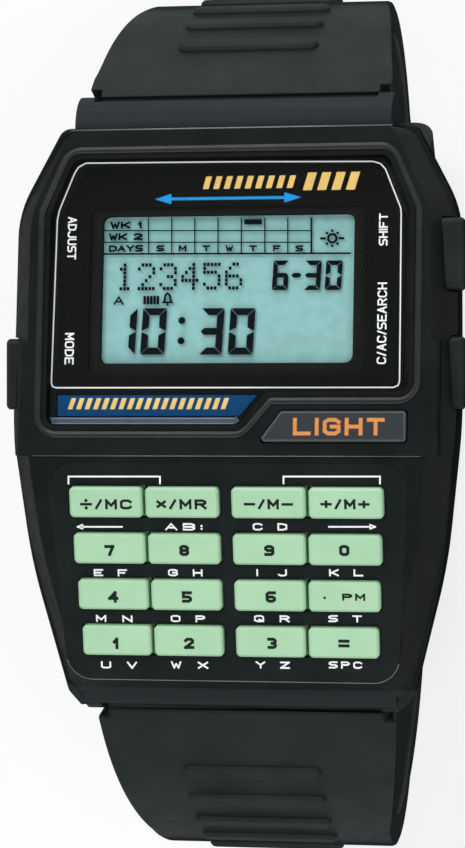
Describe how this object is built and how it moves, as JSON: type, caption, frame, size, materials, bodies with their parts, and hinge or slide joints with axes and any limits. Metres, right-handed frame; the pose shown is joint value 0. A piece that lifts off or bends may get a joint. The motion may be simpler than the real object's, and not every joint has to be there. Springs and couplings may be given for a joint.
{
  "type": "calculator watch",
  "caption": "Wristwatch with a liquid crystal display, a calculator keypad on its lower face, side pushers and a strap with a pin buckle.",
  "frame": {"origin": "middle of the watch's box, on the surface that the strap's loop stands on", "axes": "+X to 3 o'clock, +Y to 12 o'clock, +Z out of the dial"},
  "size_m": [0.0396, 0.078, 0.0575],
  "materials": {
    "case_resin": "fine satin black resin",
    "strap_resin": "satin black resin, soft sheen",
    "back_steel": "brushed along the strap",
    "fastener_steel": "turned, bright",
    "crystal_glass": "polished",
    "seal_rubber": "matte",
    "mask_print": "gloss black print",
    "accent_blue": "gloss",
    "display_black": "matte black",
    "lcd_glass": "satin polarizer",
    "backlight_film": "satin",
    "connector_rubber": "matte",
    "button_resin": "satin",
    "keypad_resin": "fine satin",
    "key_green": "satin",
    "mat_rubber": "matte",
    "board_laminate": "solder mask",
    "module_plastic": "moulded",
    "battery_steel": "satin",
    "spring_steel": "plain",
    "buzzer_brass": "satin",
    "chip_black": "matte",
    "can_metal": "satin",
    "buckle_steel": "satin"
  },
  "bodies": {
    "case": {"case_body": "case_resin", "case_back": "back_steel", "back_gasket": "seal_rubber", "back_screws": "fastener_steel", "crystal": "crystal_glass", "crystal_seal": "seal_rubber", "display_mask": "mask_print", "accent_plate": "accent_blue", "display_bezel": "display_black", "lcd_panel": "lcd_glass", "lcd_backlight": "backlight_film", "lcd_connector": "connector_rubber", "keypad_plate": "keypad_resin", "key_mat": "mat_rubber", "keypad_board": "board_laminate", "module_frame": "module_plastic", "circuit_board": "board_laminate", "battery": "battery_steel", "battery_clamp": "spring_steel", "buzzer_disc": "buzzer_brass", "controller_chip": "chip_black", "quartz_crystal": "can_metal", "pusher_springs": "spring_steel", "spring_bar_upper": "spring_steel", "spring_bar_lower": "spring_steel"},
    "key_r1_c1": {"key_r1_c1": "key_green"},
    "key_r1_c2": {"key_r1_c2": "key_green"},
    "key_r1_c3": {"key_r1_c3": "key_green"},
    "key_r1_c4": {"key_r1_c4": "key_green"},
    "key_r2_c1": {"key_r2_c1": "key_green"},
    "key_r2_c2": {"key_r2_c2": "key_green"},
    "key_r2_c3": {"key_r2_c3": "key_green"},
    "key_r2_c4": {"key_r2_c4": "key_green"},
    "key_r3_c1": {"key_r3_c1": "key_green"},
    "key_r3_c2": {"key_r3_c2": "key_green"},
    "key_r3_c3": {"key_r3_c3": "key_green"},
    "key_r3_c4": {"key_r3_c4": "key_green"},
    "key_r4_c1": {"key_r4_c1": "key_green"},
    "key_r4_c2": {"key_r4_c2": "key_green"},
    "key_r4_c3": {"key_r4_c3": "key_green"},
    "key_r4_c4": {"key_r4_c4": "key_green"},
    "light_button": {"light_button": "button_resin"},
    "pusher_right_upper": {"pusher_right_upper": "button_resin", "pusher_right_upper_clip": "spring_steel"},
    "pusher_right_lower": {"pusher_right_lower": "button_resin", "pusher_right_lower_clip": "spring_steel"},
    "pusher_left_lower": {"pusher_left_lower": "button_resin", "pusher_left_lower_clip": "spring_steel"},
    "pusher_left_setting": {"pusher_left_setting": "button_resin", "pusher_left_setting_clip": "spring_steel"},
    "upper_strap": {"strap_upper": "strap_resin"},
    "lower_strap": {"strap_lower": "strap_resin"},
    "keeper": {"strap_keeper": "strap_resin"},
    "buckle": {"buckle_frame": "buckle_steel", "buckle_bar": "buckle_steel"},
    "tongue": {"buckle_tongue": "buckle_steel"}
  },
  "joints": [
    {"name": "key_r1_c1_press", "type": "slide", "parent": "case", "child": "key_r1_c1", "axis": [0, 0.1736, -0.9848], "range_m": [0, 0.0005], "stiffness_N_per_m": 600},
    {"name": "key_r1_c2_press", "type": "slide", "parent": "case", "child": "key_r1_c2", "axis": [0, 0.1736, -0.9848], "range_m": [0, 0.0005], "stiffness_N_per_m": 600},
    {"name": "key_r1_c3_press", "type": "slide", "parent": "case", "child": "key_r1_c3", "axis": [0, 0.1736, -0.9848], "range_m": [0, 0.0005], "stiffness_N_per_m": 600},
    {"name": "key_r1_c4_press", "type": "slide", "parent": "case", "child": "key_r1_c4", "axis": [0, 0.1736, -0.9848], "range_m": [0, 0.0005], "stiffness_N_per_m": 600},
    {"name": "key_r2_c1_press", "type": "slide", "parent": "case", "child": "key_r2_c1", "axis": [0, 0.1736, -0.9848], "range_m": [0, 0.0005], "stiffness_N_per_m": 600},
    {"name": "key_r2_c2_press", "type": "slide", "parent": "case", "child": "key_r2_c2", "axis": [0, 0.1736, -0.9848], "range_m": [0, 0.0005], "stiffness_N_per_m": 600},
    {"name": "key_r2_c3_press", "type": "slide", "parent": "case", "child": "key_r2_c3", "axis": [0, 0.1736, -0.9848], "range_m": [0, 0.0005], "stiffness_N_per_m": 600},
    {"name": "key_r2_c4_press", "type": "slide", "parent": "case", "child": "key_r2_c4", "axis": [0, 0.1736, -0.9848], "range_m": [0, 0.0005], "stiffness_N_per_m": 600},
    {"name": "key_r3_c1_press", "type": "slide", "parent": "case", "child": "key_r3_c1", "axis": [0, 0.1736, -0.9848], "range_m": [0, 0.0005], "stiffness_N_per_m": 600},
    {"name": "key_r3_c2_press", "type": "slide", "parent": "case", "child": "key_r3_c2", "axis": [0, 0.1736, -0.9848], "range_m": [0, 0.0005], "stiffness_N_per_m": 600},
    {"name": "key_r3_c3_press", "type": "slide", "parent": "case", "child": "key_r3_c3", "axis": [0, 0.1736, -0.9848], "range_m": [0, 0.0005], "stiffness_N_per_m": 600},
    {"name": "key_r3_c4_press", "type": "slide", "parent": "case", "child": "key_r3_c4", "axis": [0, 0.1736, -0.9848], "range_m": [0, 0.0005], "stiffness_N_per_m": 600},
    {"name": "key_r4_c1_press", "type": "slide", "parent": "case", "child": "key_r4_c1", "axis": [0, 0.1736, -0.9848], "range_m": [0, 0.0005], "stiffness_N_per_m": 600},
    {"name": "key_r4_c2_press", "type": "slide", "parent": "case", "child": "key_r4_c2", "axis": [0, 0.1736, -0.9848], "range_m": [0, 0.0005], "stiffness_N_per_m": 600},
    {"name": "key_r4_c3_press", "type": "slide", "parent": "case", "child": "key_r4_c3", "axis": [0, 0.1736, -0.9848], "range_m": [0, 0.0005], "stiffness_N_per_m": 600},
    {"name": "key_r4_c4_press", "type": "slide", "parent": "case", "child": "key_r4_c4", "axis": [0, 0.1736, -0.9848], "range_m": [0, 0.0005], "stiffness_N_per_m": 600},
    {"name": "light_press", "type": "slide", "parent": "case", "child": "light_button", "axis": [0, -0.0976, -0.9952], "range_m": [0, 0.0005], "stiffness_N_per_m": 600},
    {"name": "pusher_right_upper_press", "type": "slide", "parent": "case", "child": "pusher_right_upper", "axis": [-1, 0, 0], "range_m": [0, 0.0006], "stiffness_N_per_m": 800},
    {"name": "pusher_right_lower_press", "type": "slide", "parent": "case", "child": "pusher_right_lower", "axis": [-1, 0, 0], "range_m": [0, 0.0006], "stiffness_N_per_m": 800},
    {"name": "pusher_left_lower_press", "type": "slide", "parent": "case", "child": "pusher_left_lower", "axis": [1, 0, 0], "range_m": [0, 0.0006], "stiffness_N_per_m": 800},
    {"name": "pusher_left_setting_press", "type": "slide", "parent": "case", "child": "pusher_left_setting", "axis": [1, 0, 0], "range_m": [0, 0.0006], "stiffness_N_per_m": 800},
    {"name": "upper_strap_swing", "type": "hinge", "parent": "case", "child": "upper_strap", "pos_m": [0, 0.0253, 0.051], "axis": [1, 0, 0], "range_deg": [0, 40]},
    {"name": "lower_strap_swing", "type": "hinge", "parent": "case", "child": "lower_strap", "pos_m": [0, -0.0218, 0.0484], "axis": [-1, 0, 0], "range_deg": [0, 36]},
    {"name": "keeper_slide", "type": "slide", "parent": "upper_strap", "child": "keeper", "axis": [0, -0.766, -0.6428], "range_m": [-0.002, 0.002]},
    {"name": "buckle_swing", "type": "hinge", "parent": "upper_strap", "child": "buckle", "pos_m": [0, 0.01357, 0.00191], "axis": [1, 0, 0], "range_deg": [-40, 35]},
    {"name": "tongue_swing", "type": "hinge", "parent": "buckle", "child": "tongue", "pos_m": [0, 0.01357, 0.00191], "axis": [1, 0, 0], "range_deg": [0, 80]}
  ]
}
